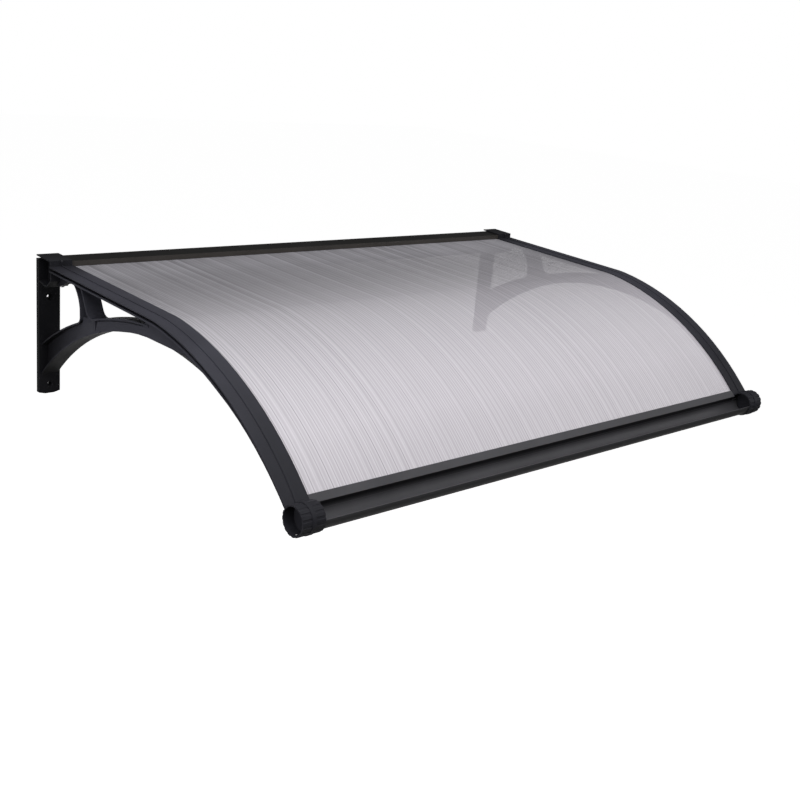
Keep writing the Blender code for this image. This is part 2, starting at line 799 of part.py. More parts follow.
def rear_rail_outlines():
    """Hollow section that fills the pocket, with a jaw for the sheet in its front."""
    wall = REAR_RAIL_WALL
    back = PLATE_DEPTH + FIT
    front = POCKET_OUT - POCKET_WALL - FIT
    keel = offset(keel_path(), -POCKET_WALL - FIT)
    keel[0] = (back, keel[0][1])
    keel[-1] = (front, keel[-1][1])
    top_drop = CAP_THICKNESS + FIT * 1.2
    stop = rear_stop() - FIT * 4

    jaw_top = FLANGE
    jaw_low = FLANGE + FIT + SHEET + GASKET + 2 * FIT
    outer = [(back, cap_top(back) - top_drop), (front, cap_top(front) - top_drop)]
    steps = ((front, jaw_top), (stop, jaw_top), (stop, jaw_low), (front, jaw_low))
    outer += [(out, roof_up(out, depth)) for out, depth in steps]
    outer += keel[::-1][1:]
    inner = [(back + wall, cap_top(back) - top_drop - wall)]
    inner += [(front - wall, cap_top(front) - top_drop - wall)]
    for out, depth in steps:
        inner.append((out - wall, roof_up(out, depth + wall if depth == jaw_low else depth - wall)))
    hollow = offset(keel, -wall)
    hollow[0] = (back + wall, hollow[0][1])
    inner += hollow[::-1][1:]
    return outer, inner


def rear_rail_mesh():
    outer, inner = rear_rail_outlines()
    end = WEB / 2 + SHEET_SIDE_GAP
    body = prism(outer, end, SPAN - end, holes=[inner])
    rear, _ = screw_places()
    cuts = []
    for x in (SCREW_IN, SPAN - SCREW_IN):
        hole = circle((x, rear[0]), SCREW_SHANK / 2 + FIT, 16)
        cuts.append(prism(hole, rear[1] - SCREW_LENGTH, rear[1] + SCREW_LENGTH, place=plan_view))
    return combine("rear_rail", [body], cuts)


def rear_gasket_mesh():
    """Soft strip under the sheet in the rear rail's jaw."""
    depth = FLANGE + FIT + SHEET + FIT
    start = along_at(rear_stop())
    end = along_at(POCKET_OUT - POCKET_WALL - FIT)
    inset = WEB / 2 + SHEET_SIDE_GAP
    return combine("rear_gasket", [prism(roof_band(start, end, depth, depth + GASKET), inset, SPAN - inset)])


def front_gasket_mesh():
    """Soft strip under the sheet in the gutter's jaw."""
    high = FLANGE + FIT + SHEET + FIT
    stop = -JAW_STOP - RAIL_WALL - FIT
    tip = stop + FIT - JAW_LENGTH + LOWER_LIP_SHORT
    outline = [jaw_point(*corner) for corner in rectangle(tip, stop, high, high + GASKET)]
    inset = ARM_WIDTH / 2 + FIT
    return combine("front_gasket", [prism(outline, inset, SPAN - inset)])


def screw_mesh(out, seat):
    """Self-tapping screw, head down, standing in its hole."""
    width, height = SCREW_HEAD
    top = seat - FIT
    head = prism(circle((0, out), width / 2, HEAD_SIDES), top - height, top, place=plan_view)
    outline = circle((0, out), SCREW_SHANK / 2, HEAD_SIDES)
    shank = prism(outline, seat - height / 2, seat + SCREW_LENGTH, place=plan_view)
    return combine("screw", [head, shank])


def build():
    clear_scene()
    plastic = material("black_moulded_plastic", (0.026, 0.027, 0.029), 0.42)
    glazing = material("smoky_polycarbonate", (0.42, 0.40, 0.42), 0.18, 0.0, 0.55)
    coated = material("black_coated_aluminium", (0.030, 0.030, 0.032), 0.32, 0.3)
    rubber = material("black_rubber", (0.018, 0.018, 0.018), 0.75)
    steel = material("zinc_plated_steel", (0.55, 0.55, 0.56), 0.35, 0.9)

    bracket = bracket_mesh()
    finish("left_bracket", bracket, plastic)
    finish("right_bracket", bracket, plastic, (SPAN, 0, 0))
    finish("roof_sheet", sheet_mesh(), glazing)
    finish("rear_wall_rail", rear_rail_mesh(), coated)
    finish("front_gutter_rail", gutter_mesh(), coated)
    finish("rear_gasket", rear_gasket_mesh(), rubber)
    finish("front_gasket", front_gasket_mesh(), rubber)
    for place, seat in zip(("rear", "front"), screw_places()):
        screw = screw_mesh(*seat)
        finish(f"left_{place}_screw", screw, steel, (SCREW_IN, 0, 0))
        finish(f"right_{place}_screw", screw, steel, (SPAN - SCREW_IN, 0, 0))


build()
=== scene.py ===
"""Looks of the door canopy: finishes, fluted sheet, soft edges, screws, light and camera."""

from math import cos, pi, radians, sin

import bmesh
import bpy
from bpy.props import FloatProperty, FloatVectorProperty, PointerProperty
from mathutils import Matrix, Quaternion, Vector


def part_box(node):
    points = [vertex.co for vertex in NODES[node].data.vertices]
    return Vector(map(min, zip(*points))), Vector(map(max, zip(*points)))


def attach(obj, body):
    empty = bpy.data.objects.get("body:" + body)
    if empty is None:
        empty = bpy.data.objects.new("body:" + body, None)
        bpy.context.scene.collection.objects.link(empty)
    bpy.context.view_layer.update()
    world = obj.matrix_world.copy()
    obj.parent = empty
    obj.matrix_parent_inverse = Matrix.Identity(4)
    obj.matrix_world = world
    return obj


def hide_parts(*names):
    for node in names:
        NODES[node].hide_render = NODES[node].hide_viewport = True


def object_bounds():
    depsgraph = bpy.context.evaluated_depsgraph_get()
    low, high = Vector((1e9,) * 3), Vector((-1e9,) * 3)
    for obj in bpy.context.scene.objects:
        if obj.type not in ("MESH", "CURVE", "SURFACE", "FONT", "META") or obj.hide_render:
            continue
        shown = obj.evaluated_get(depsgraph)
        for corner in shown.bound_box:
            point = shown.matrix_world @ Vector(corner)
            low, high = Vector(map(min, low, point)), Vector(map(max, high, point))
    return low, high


bl_info = {
    "name": "Door canopy looks",
    "version": (1, 0, 0),
    "blender": (4, 5, 0),
    "location": "View3D > Sidebar > Canopy",
    "description": "Finishes a packed door canopy and sets its studio",
    "category": "Object",
}

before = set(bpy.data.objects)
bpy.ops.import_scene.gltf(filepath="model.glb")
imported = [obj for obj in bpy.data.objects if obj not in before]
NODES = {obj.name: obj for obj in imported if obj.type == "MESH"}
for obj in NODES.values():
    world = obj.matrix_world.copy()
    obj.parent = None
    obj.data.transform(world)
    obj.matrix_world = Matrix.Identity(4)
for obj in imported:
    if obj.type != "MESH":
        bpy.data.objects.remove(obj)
CAD_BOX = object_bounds()


def node_box(name):
    low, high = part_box(name)
    return Vector(low), Vector(high)


# Settings

class CanopySheetSettings(bpy.types.PropertyGroup):
    flute_pitch: FloatProperty(
        name="Flute pitch", description="Distance between two ribs of the sheet",
        default=0.0120, unit="LENGTH",
    )
    skin: FloatProperty(
        name="Skin", description="Thickness of the sheet's two skins",
        default=0.0012, unit="LENGTH",
    )
    rib: FloatProperty(
        name="Rib", description="Thickness of a rib between two flutes",
        default=0.0008, unit="LENGTH",
    )
    front_colour: FloatVectorProperty(
        name="Front colour", description="Colour of the sheet's front part", subtype="COLOR",
        size=3, default=(1.06, 1.0, 1.085),
    )
    back_colour: FloatVectorProperty(
        name="Back colour", description="Colour of the sheet at the wall", subtype="COLOR",
        size=3, default=(1.02, 1.0, 1.08),
    )
    wave_tone: FloatProperty(
        name="Wave", description="Soft change of tone across each flute", default=0.13,
    )
    rib_tone: FloatProperty(
        name="Rib line", description="How much darker the line over a rib is", default=0.38,
    )
    flute_change: FloatProperty(
        name="Flute change", description="Change of tone from flute to flute", default=0.07,
    )
    wall_change: FloatProperty(
        name="Change at the wall", description="How many times stronger that change is at the wall",
        default=6.0,
    )
    haze_change: FloatProperty(
        name="Haze", description="Large soft changes of tone", default=0.06,
    )
    # Painted light: the sheet's colour gets lighter to the right, most at the wall
    painted_side_light: FloatProperty(
        name="Change across",
        description="How much lighter the sheet gets per metre to the right, at the wall",
        default=0.42,
    )
    even_place: FloatProperty(
        name="Even place", description="Place across the sheet where that change is nothing",
        subtype="DISTANCE", unit="LENGTH", default=0.52,
    )
    top_hiding: FloatProperty(
        name="Top skin", description="How much the top skin hides", subtype="FACTOR",
        default=0.74, min=0, max=1,
    )
    low_hiding: FloatProperty(
        name="Bottom skin", description="How much the bottom skin hides", subtype="FACTOR",
        default=0.45, min=0, max=1,
    )
    # Painted shade: the sheet is less clear, and so darker, at the wall and most at its left end
    wall_clearness: FloatProperty(
        name="Clear share at the wall",
        description="Share of its clearness that the sheet keeps at the wall",
        subtype="FACTOR", default=0.76, min=0, max=1,
    )
    left_clearness: FloatProperty(
        name="Clear share at the wall's left",
        description="The same share at the left end of the wall",
        subtype="FACTOR", default=0.25, min=0, max=1,
    )
    flute_hiding: FloatProperty(
        name="Flute walls", description="How much the inside of a flute hides", subtype="FACTOR",
        default=0.12, min=0, max=1,
    )


class CanopyFinishSettings(bpy.types.PropertyGroup):
    plastic: FloatVectorProperty(
        name="Moulded plastic", description="Colour of the brackets", subtype="COLOR",
        size=3, default=(0.0390, 0.0390, 0.0500),
    )
    # Painted shade: the plastic's colour darkens towards the wall
    wall_shade: FloatProperty(
        name="Shade at the wall", description="Share of the plastic's lightness left at the wall",
        subtype="FACTOR", default=0.13, min=0, max=1,
    )
    shade_reach: FloatProperty(
        name="Shade reach", description="How far out from the wall the shade goes",
        default=0.17, unit="LENGTH",
    )
    gutter_coating: FloatVectorProperty(
        name="Gutter coating", description="Colour of the gutter rail", subtype="COLOR",
        size=3, default=(0.0640, 0.0630, 0.0690),
    )
    wall_coating: FloatVectorProperty(
        name="Wall rail coating", description="Colour of the wall rail", subtype="COLOR",
        size=3, default=(0.0440, 0.0395, 0.0365),
    )
    rubber: FloatVectorProperty(
        name="Rubber", description="Colour of the gaskets", subtype="COLOR",
        size=3, default=(0.012, 0.012, 0.012),
    )
    zinc: FloatVectorProperty(
        name="Zinc", description="Colour of the screws", subtype="COLOR",
        size=3, default=(0.56, 0.56, 0.58),
    )
    edge_radius: FloatProperty(
        name="Edge radius", description="Rounding of the mouldings' edges",
        default=0.0005, unit="LENGTH",
    )


class CanopyStageSettings(bpy.types.PropertyGroup):
    azimuth: FloatProperty(
        name="Azimuth", description="Camera's turn from the wall's normal", subtype="ANGLE",
        default=radians(44.49),
    )
    elevation: FloatProperty(
        name="Elevation", description="How far the camera looks down", subtype="ANGLE",
        default=radians(16.84),
    )
    roll: FloatProperty(
        name="Roll", description="Tilt of the camera about its own axis", subtype="ANGLE",
        default=radians(5.235),
    )
    eye: FloatVectorProperty(
        name="Eye", description="Place of the camera", subtype="TRANSLATION", size=3,
        default=(-0.9837, -1.9590, 0.5493),
    )
    lens: FloatProperty(
        name="Lens", description="Focal length", default=51.8, unit="CAMERA",
    )
    floor_drop: FloatProperty(
        name="Floor drop", description="Height of the canopy's foot over the floor",
        default=2.0, unit="LENGTH",
    )


# Painted light and shade of the sheet, dark at the wall and light towards its front edge: share of
# the way out, level
SHEET_PAINTED_LIGHT_TONES = (
    (0.0, 0.36), (0.105, 0.36), (0.157, 0.36), (0.235, 0.31), (0.326, 0.31), (0.418, 0.35),
    (0.52, 0.42), (0.62, 0.49), (0.72, 0.56), (0.81, 0.61), (0.895, 0.63), (1.0, 0.57),
)


# Soft lamps: name, place, width and height, watts
STUDIO_LAMPS = (
    ("high_left", (-1.1, -1.2, 2.5), (2.2, 2.2), 50),
    ("high_middle", (0.6, -0.6, 3.0), (2.8, 2.8), 30),
    ("high_front", (0.3, -2.6, 2.6), (2.6, 2.0), 26),
    ("low_front", (-0.3, -3.6, 1.7), (2.8, 2.0), 16),
    ("left", (-3.0, -1.2, 0.2), (1.8, 1.6), 42),
    ("right", (3.2, -2.4, 1.2), (2.0, 2.0), 12),
    ("behind", (0.9, 3.0, -0.9), (2.6, 1.6), 22),
)
FLOOR_SIZE = 60
FLOOR_TONES = (0.70, 0.74)
FLOOR_GLOW = 0.92                   # only where the camera sees the floor
AIR_LIGHT = 0.10                    # level of the even light on the canopy
AIR_SEEN = 1.0
SENSOR_WIDTH = 36

# Tones and clearness of the sheet
WALL_SPAN = 0.6                     # share of the depth over which the wall's values fade out
FRONT_PAINTED_SIDE_LIGHT = 0.05            # painted light across at the front edge, per metre
CLEAR_SPAN = (0.2, 0.85)            # places across between which the wall gets clearer; less clear to the left, as painted shade
RIB_LINE_START = 0.72               # level of the flute's wave where the line over a rib starts
FAINTEST_LINE = 0.45                # darkness of a rib line before its random share
HAZE_SCALE = 22.0
HAZE_STRETCH = (1.0, 0.05, 0.05)    # draws the haze out along the flutes
SHEET_ROUGHNESS = 0.26
POLYCARBONATE_IOR = 1.58
WAVE_STRENGTH = 0.2                 # bump of the flutes
WAVE_DEPTH = 0.0005

# Finishes: name, setting with the colour, roughness, grain scale, bump strength, grain stretch,
# metallic, specular level
EVEN_GRAIN, DRAWN_GRAIN = (1.0, 1.0, 1.0), (0.02, 1.0, 1.0)
FINISHES = (
    ("black_moulded_plastic_finish", "plastic", 0.52, 2600.0, 0.25, EVEN_GRAIN, 0.0, 0.2),
    ("gutter_coated_aluminium", "gutter_coating", 0.38, 1500.0, 0.12, DRAWN_GRAIN, 0.0, 0.2),
    ("wall_rail_coated_aluminium", "wall_coating", 0.42, 1500.0, 0.12, DRAWN_GRAIN, 0.0, 0.2),
    ("black_rubber_finish", "rubber", 0.72, 3200.0, 0.35, EVEN_GRAIN, 0.0, 0.5),
    ("zinc_plated_steel_finish", "zinc", 0.30, 4000.0, 0.10, EVEN_GRAIN, 1.0, 0.5),
)
TONE_CHANGE = 0.12                  # soft patches in the tone of every finish
GRAIN_DEPTH = 0.0002

# Painted shades, colour darkened by place or by the way a face looks: finish, Y for the place out
# from the wall or Z for the way a face looks, span, least share
SHADES = (
    # Painted shade: the plastic darkens towards the front socket
    ("black_moulded_plastic_finish", "Y", (-0.5, -0.8), 0.42),
    # Painted shade: faces of the plastic that look down are darker
    ("black_moulded_plastic_finish", "Z", (0.0, -0.5), 0.15),
    # Painted shade: faces of the gutter rail that look down are darker
    ("gutter_coated_aluminium", "Z", (0.25, -0.4), 0.1),
    # Painted shade: top faces of the wall rail are darker
    ("wall_rail_coated_aluminium", "Z", (0.5, 0.85), 0.1),
)

# Meshes
WELD = 0.00006                      # points of a CAD mesh that are nearer than this are one
LINE_WELD = 0.00001                 # the same for the sheet's lines
NEAR = 0.001
SHEET_SHARP = radians(40)           # edges of the sheet sharper than this stay sharp
FLAT_ANGLE = radians(0.6)
SOFT_ANGLE = radians(35)            # edges sharper than this are rounded
RAIL_EDGE_SHARE = 0.6               # rounding of the rails, as a share of the mouldings'
UP_OR_DOWN = 0.55                   # how far a face of the sheet's skins looks up or down
SIDEWAYS = 0.1                      # and how little it looks aside
FRONT_INSET = 0.002                 # the built sheet ends this much behind the cut-back corners

# Screw: shares of its width across, and of its length
SCREW_ACROSS = {
    "Head_radius": 0.499, "Core_radius": 0.19, "Thread_depth": 0.07,
    "Recess_reach": 0.44, "Recess_width": 0.1,
}
SCREW_ALONG = {"Head_height": 0.16, "Thread_pitch": 0.08}
HEAD_ROUNDED = 0.6                  # share of the head's height that is rounded
HEAD_FACE = 0.7                     # radius of the head's face, as a share of the head's
THREAD_STEEPNESS = 1.7
POINT_TURNS = 2.0                   # turns of thread over which the shank narrows to its point
POINT_CORE = 0.2                    # core left at the point
SHANK_START = 0.8                   # where the shank starts inside the head, by the head's height
HEAD_STEPS = (32, 6)                # points around, rows along
SHANK_STEPS = (16, 72)
SCREW_SHARP = radians(32)           # edges sharper than this stay sharp
RECESS_DEPTH = 1.4                  # bars of the cross, centred on the head's face, by its height
TURN_SEED = 4


# Node helpers

def new_material(name):
    made = bpy.data.materials.new(name)
    made.use_nodes = True
    return made, made.node_tree, made.node_tree.nodes["Principled BSDF"]


def add(tree, kind, place=(0, 0), **values):
    node = tree.nodes.new(kind)
    node.location = place
    for key, value in values.items():
        if hasattr(node, key):
            setattr(node, key, value)
        else:
            node.inputs[key].default_value = value
    return node


def join(tree, source, target):
    tree.links.new(source, target)


def fill(tree, socket, value):
    """Set a socket to a number, or join it to another node's output."""
    if isinstance(value, (int, float)):
        socket.default_value = value
    elif value is not None:
        join(tree, value, socket)


def calculator(tree):
    """Function that adds a math node to a tree and returns its result."""
    def calc(operation, a, b=None, c=None, place=(0, 0)):
        node = add(tree, "ShaderNodeMath", place, operation=operation)
        for value, socket in zip((a, b, c), node.inputs):
            fill(tree, socket, value)
        return node.outputs[0]
    return calc


def map_range(tree, value, source, target, place=(0, 0), **options):
    """Value taken from one span to another; each end is a number or a node's output."""
    node = add(tree, "ShaderNodeMapRange", place, **options)
    join(tree, value, node.inputs["Value"])
    for label, end in zip(("From Min", "From Max", "To Min", "To Max"), (*source, *target)):
        fill(tree, node.inputs[label], end)
    return node.outputs["Result"]


def scaled(tree, colour, share, place=(0, 0)):
    """Colour or vector times a share."""
    node = add(tree, "ShaderNodeVectorMath", place, operation="SCALE")
    join(tree, colour, node.inputs[0])
    join(tree, share, node.inputs["Scale"])
    return node.outputs[0]


def vector(tree, x, y=None, z=None):
    node = add(tree, "ShaderNodeCombineXYZ")
    for value, socket in zip((x, y, z), node.inputs):
        fill(tree, socket, value)
    return node.outputs[0]


def new_group(name, inputs, outputs):
    """Shader node group. Inputs are (name, kind, default), outputs (name, kind)."""
    group = bpy.data.node_groups.new(name, "ShaderNodeTree")
    kinds = {"float": "NodeSocketFloat", "colour": "NodeSocketColor", "vector": "NodeSocketVector"}
    for label, kind, default in inputs:
        socket = group.interface.new_socket(name=label, in_out="INPUT", socket_type=kinds[kind])
        socket.default_value = default
    for label, kind in outputs:
        group.interface.new_socket(name=label, in_out="OUTPUT", socket_type=kinds[kind])
    return group, group.nodes.new("NodeGroupInput"), group.nodes.new("NodeGroupOutput")


def surface_grain_group():
    """Fine texture of a surface, with large soft patches in tone and roughness."""
    group, come, go = new_group(
        "surface_grain",
        [
            ("Colour", "colour", (0.02, 0.02, 0.02, 1)),
            ("Roughness", "float", 0.4),
            ("Grain scale", "float", 2500.0),
            ("Tone change", "float", 0.12),
            ("Stretch", "vector", (1.0, 1.0, 1.0)),
        ],
        [("Colour", "colour"), ("Roughness", "float"), ("Height", "float")],
    )
    coords = add(group, "ShaderNodeTexCoord")
    stretch = add(group, "ShaderNodeVectorMath", operation="MULTIPLY")
    join(group, coords.outputs["Object"], stretch.inputs[0])
    join(group, come.outputs["Stretch"], stretch.inputs[1])
    grain = add(group, "ShaderNodeTexNoise", Detail=3.0, Roughness=0.6)
    join(group, stretch.outputs[0], grain.inputs["Vector"])
    join(group, come.outputs["Grain scale"], grain.inputs["Scale"])
    patches = add(group, "ShaderNodeTexNoise", Scale=9.0, Detail=4.0, Roughness=0.6)
    join(group, coords.outputs["Object"], patches.inputs["Vector"])
    calc = calculator(group)
    change = come.outputs["Tone change"]
    tone = map_range(
        group, patches.outputs["Fac"], (0.3, 0.7),
        (calc("SUBTRACT", 1.0, change), calc("ADD", 1.0, change)),
    )
    join(group, scaled(group, come.outputs["Colour"], tone), go.inputs["Colour"])
    join(group, calc("MULTIPLY", come.outputs["Roughness"], tone), go.inputs["Roughness"])
    join(group, grain.outputs["Fac"], go.inputs["Height"])
    return group


def grained_material(name, colour, roughness, grain, strength, stretch, metallic, shine):
    """Principled material whose colour, roughness and bump come from the grain group."""
    made, tree, shader = new_material(name)
    node = add(tree, "ShaderNodeGroup", (-500, 0), node_tree=GROUPS["grain"])
    node.inputs["Colour"].default_value = (*colour, 1)
    node.inputs["Roughness"].default_value = roughness
    node.inputs["Grain scale"].default_value = grain
    node.inputs["Tone change"].default_value = TONE_CHANGE
    node.inputs["Stretch"].default_value = stretch
    bump = add(tree, "ShaderNodeBump", (-250, -200), Strength=strength, Distance=GRAIN_DEPTH)
    join(tree, node.outputs["Height"], bump.inputs["Height"])
    join(tree, node.outputs["Colour"], shader.inputs["Base Color"])
    join(tree, node.outputs["Roughness"], shader.inputs["Roughness"])
    join(tree, bump.outputs["Normal"], shader.inputs["Normal"])
    shader.inputs["Metallic"].default_value = metallic
    shader.inputs["Specular IOR Level"].default_value = shine


def shade_colour(name, along, span, least):
    """Lower a finish's colour to its least share over a span of Y or Z, as SHADES has it: painted
    shade.
    """
    tree = bpy.data.materials[name].node_tree
    shader = tree.nodes["Principled BSDF"]
    colour = shader.inputs["Base Color"].links[0].from_socket
    if along == "Y":
        source = add(tree, "ShaderNodeTexCoord", (-900, 300)).outputs["Object"]
    else:
        source = add(tree, "ShaderNodeNewGeometry", (-900, 300)).outputs["Normal"]
    split = add(tree, "ShaderNodeSeparateXYZ", (-700, 300))
    join(tree, source, split.inputs[0])
    shade = map_range(
        tree, split.outputs[along], span, (1.0, least), (-500, 300),
        interpolation_type="SMOOTHSTEP",
    )
    join(tree, scaled(tree, colour, shade, (-250, 200)), shader.inputs["Base Color"])


# Shader node groups by name, filled by the finishes operator
GROUPS = {}


def sheet_material(settings, first_rib, pitch, deepest):
    """Smoky polycarbonate with a line at each rib and partly clear. Painted shade darkens it and
    makes it less clear at the wall, and painted light lightens it to the right, most at the wall.
    """
    made, tree, shader = new_material("smoky_fluted_polycarbonate")
    coords = add(tree, "ShaderNodeTexCoord", (-1900, 0))
    split = add(tree, "ShaderNodeSeparateXYZ", (-1700, 0))
    join(tree, coords.outputs["Object"], split.inputs[0])

    across, out = split.outputs["X"], split.outputs["Y"]
    near_wall = (0.0, deepest * WALL_SPAN)
    calc = calculator(tree)

    flute = calc("DIVIDE", calc("SUBTRACT", across, first_rib, place=(-1500, -300)), pitch,
                 place=(-1350, -300))
    turn = calc("MULTIPLY", flute, 2 * pi, place=(-1200, -300))
    wave = calc("COSINE", turn, place=(-1050, -300))
    rib = map_range(tree, wave, (RIB_LINE_START, 1.0), (0.0, 1.0), (-900, -400))
    chance = add(tree, "ShaderNodeTexWhiteNoise", (-1050, -600), noise_dimensions="1D")
    join(tree, calc("FLOOR", flute, place=(-1200, -600)), chance.inputs["W"])
    line_chance = add(tree, "ShaderNodeTexWhiteNoise", (-1050, -500), noise_dimensions="1D")
    join(tree, calc("ROUND", flute, place=(-1200, -500)), line_chance.inputs["W"])
    stretch = add(tree, "ShaderNodeVectorMath", (-1500, -800), operation="MULTIPLY")
    stretch.inputs[1].default_value = HAZE_STRETCH
    join(tree, coords.outputs["Object"], stretch.inputs[0])
    haze = add(
        tree, "ShaderNodeTexNoise", (-1300, -800), Scale=HAZE_SCALE, Detail=3.0, Roughness=0.6,
    )
    join(tree, stretch.outputs[0], haze.inputs["Vector"])

    tone = calc("MULTIPLY_ADD", wave, settings.wave_tone, 1.0, place=(-700, -300))
    line = calc("MULTIPLY", rib, calc("ADD", line_chance.outputs["Value"], FAINTEST_LINE),
                place=(-700, -400))
    tone = calc("MULTIPLY_ADD", line, -settings.rib_tone, tone, place=(-550, -350))
    wall_change = settings.flute_change * settings.wall_change
    change = map_range(tree, out, near_wall, (wall_change, settings.flute_change), (-850, -700))
    draw = calc("SUBTRACT", chance.outputs["Value"], 0.5, place=(-850, -600))
    tone = calc("MULTIPLY_ADD", draw, change, tone, place=(-400, -400))
    cloud = calc("SUBTRACT", haze.outputs["Fac"], 0.5, place=(-850, -800))
    tone = calc("MULTIPLY_ADD", cloud, settings.haze_change, tone, place=(-250, -450))
    # Painted light: the colour gets lighter to the right, most at the wall
    lean = map_range(
        tree, out, (0.0, deepest), (settings.painted_side_light, FRONT_PAINTED_SIDE_LIGHT), (-850, -1000),
    )
    aside = calc("SUBTRACT", across, settings.even_place, place=(-850, -900))
    painted_side_tone = calc("MULTIPLY_ADD", aside, lean, 1.0, place=(-650, -900))
    tone = calc("MULTIPLY", tone, painted_side_tone, place=(-400, -900))

    # Painted light and shade: this ramp darkens the sheet at the wall and lightens it towards the
    # front
    ramp = add(tree, "ShaderNodeValToRGB", (-900, 250))
    stops = ramp.color_ramp.elements
    while len(stops) > 1:
        stops.remove(stops[-1])
    for i, (share, level) in enumerate(SHEET_PAINTED_LIGHT_TONES):
        stop = stops[0] if i == 0 else stops.new(share)
        stop.position = share
        stop.color = [
            level * (back + (front - back) * share)
            for back, front in zip(settings.back_colour, settings.front_colour)
        ] + [1]
    share = map_range(tree, out, (0.0, deepest), (0.0, 1.0), (-1200, 250))
    join(tree, share, ramp.inputs["Fac"])
    tinted = scaled(tree, ramp.outputs["Color"], tone, (-250, 100))
    join(tree, tinted, shader.inputs["Base Color"])

    hiding = add(tree, "ShaderNodeAttribute", (-700, -50), attribute_name="hiding")
    # Painted shade: less clear at the wall, most at its left end, so the sheet is darker there
    wall_share = map_range(
        tree, across, CLEAR_SPAN, (settings.left_clearness, settings.wall_clearness), (-900, -150),
    )
    cover = map_range(tree, out, near_wall, (wall_share, 1.0), (-700, -150))
    see = calc("MULTIPLY_ADD", hiding.outputs["Fac"], -1.0, 1.0, place=(-550, -100))
    clear = calc("MULTIPLY", see, cover, place=(-400, -100))
    join(tree, calc("SUBTRACT", 1.0, clear, place=(-250, -100)), shader.inputs["Alpha"])

    bump = add(tree, "ShaderNodeBump", (-100, -500), Strength=WAVE_STRENGTH, Distance=WAVE_DEPTH)
    join(tree, wave, bump.inputs["Height"])
    join(tree, bump.outputs["Normal"], shader.inputs["Normal"])
    shader.inputs["Roughness"].default_value = SHEET_ROUGHNESS
    shader.inputs["IOR"].default_value = POLYCARBONATE_IOR
    return made


# Mesh helpers

def piece_from(name, mesh, slot, *nodes):
    """Object at the origin that rides on the canopy and stands for CAD nodes."""
    made = bpy.data.objects.new(name, mesh)
    bpy.context.scene.collection.objects.link(made)
    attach(made, "root")
    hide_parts(*nodes)
    return made


def welded_copy(name, node):
    """The CAD node's mesh as one skin, with flat areas joined into whole faces."""
    mesh = bmesh.new()
    mesh.from_mesh(NODES[node].data)
    bmesh.ops.remove_doubles(mesh, verts=mesh.verts, dist=WELD)
    bmesh.ops.dissolve_limit(mesh, angle_limit=FLAT_ANGLE, verts=mesh.verts, edges=mesh.edges)
    data = bpy.data.meshes.new(name)
    mesh.to_mesh(data)
    mesh.free()
    return data


def evaluated_mesh(item):
    depsgraph = bpy.context.evaluated_depsgraph_get()
    return bpy.data.meshes.new_from_object(item.evaluated_get(depsgraph))


def softened(name, node, radius):
    """Copy of a CAD node with its edges rounded."""
    item = bpy.data.objects.new(name, welded_copy(name, node))
    item.data.shade_smooth()
    bpy.context.scene.collection.objects.link(item)
    bevel = item.modifiers.new("edges", "BEVEL")
    bevel.width = radius
    bevel.segments = 2
    bevel.limit_method = "ANGLE"
    bevel.angle_limit = SOFT_ANGLE
    bevel.use_clamp_overlap = True
    item.modifiers.new("flats", "WEIGHTED_NORMAL")
    mesh = evaluated_mesh(item)
    bpy.data.objects.remove(item, do_unlink=True)
    mesh.name = name
    return mesh


def give(item, material):
    item.data.materials.clear()
    item.data.materials.append(material)


# Operators

class CANOPY_OT_finishes(bpy.types.Operator):
    """Build the shared node groups and the materials of the canopy"""

    bl_idname = "canopy.finishes"
    bl_label = "Finishes"

    def execute(self, context):
        finish = context.scene.canopy_finish
        GROUPS["grain"] = surface_grain_group()
        for name, setting, *values in FINISHES:
            grained_material(name, getattr(finish, setting), *values)
        # Painted shade of the plastic at the wall
        reach = (-finish.shade_reach, 0.0)
        shade_colour("black_moulded_plastic_finish", "Y", reach, finish.wall_shade)
        for shade in SHADES:
            shade_colour(*shade)
        return {"FINISHED"}


class CANOPY_OT_brackets(bpy.types.Operator):
    """Round the edges of both moulded brackets and give them their plastic"""

    bl_idname = "canopy.brackets"
    bl_label = "Brackets"

    def execute(self, context):
        finish = context.scene.canopy_finish
        for side in ("left", "right"):
            node = side + "_bracket"
            mesh = softened(side + "_bracket_moulding", node, finish.edge_radius)
            made = piece_from(side + "_bracket_moulding", mesh, "bracket_plastic", node)
            give(made, bpy.data.materials["black_moulded_plastic_finish"])
        return {"FINISHED"}


class CANOPY_OT_rails(bpy.types.Operator):
    """Give the wall rail, the gutter rail and the gaskets their finish"""

    bl_idname = "canopy.rails"
    bl_label = "Rails and gaskets"

    def execute(self, context):
        edge = context.scene.canopy_finish.edge_radius * RAIL_EDGE_SHARE
        for node, name, finish in (
            ("rear_wall_rail", "wall_rail_extrusion", "wall_rail_coated_aluminium"),
            ("front_gutter_rail", "gutter_rail_extrusion", "gutter_coated_aluminium"),
        ):
            made = piece_from(name, softened(name, node, edge), "coated_rail", node)
            give(made, bpy.data.materials[finish])
        for node in ("rear_gasket", "front_gasket"):
            give(NODES[node], bpy.data.materials["black_rubber_finish"])
        return {"FINISHED"}


def top_and_bottom_lines(node):
    """The sheet's upper and lower side lines as (out, up) points, from the wall to the front."""
    mesh = bmesh.new()
    mesh.from_mesh(NODES[node].data)
    bmesh.ops.remove_doubles(mesh, verts=mesh.verts, dist=LINE_WELD)
    mesh.normal_update()
    lines = []
    for way in (1, -1):
        faces = [
            face for face in mesh.faces
            if way * face.normal.z > UP_OR_DOWN and abs(face.normal.x) < SIDEWAYS
        ]
        points = {(round(-v.co.y, 5), round(v.co.z, 5)) for face in faces for v in face.verts}
        lines.append(sorted(points))
    mesh.free()
    return lines


def middle_line(node):
    upper, lower = top_and_bottom_lines(node)
    return [((a[0] + b[0]) / 2, (a[1] + b[1]) / 2) for a, b in zip(upper, lower)]


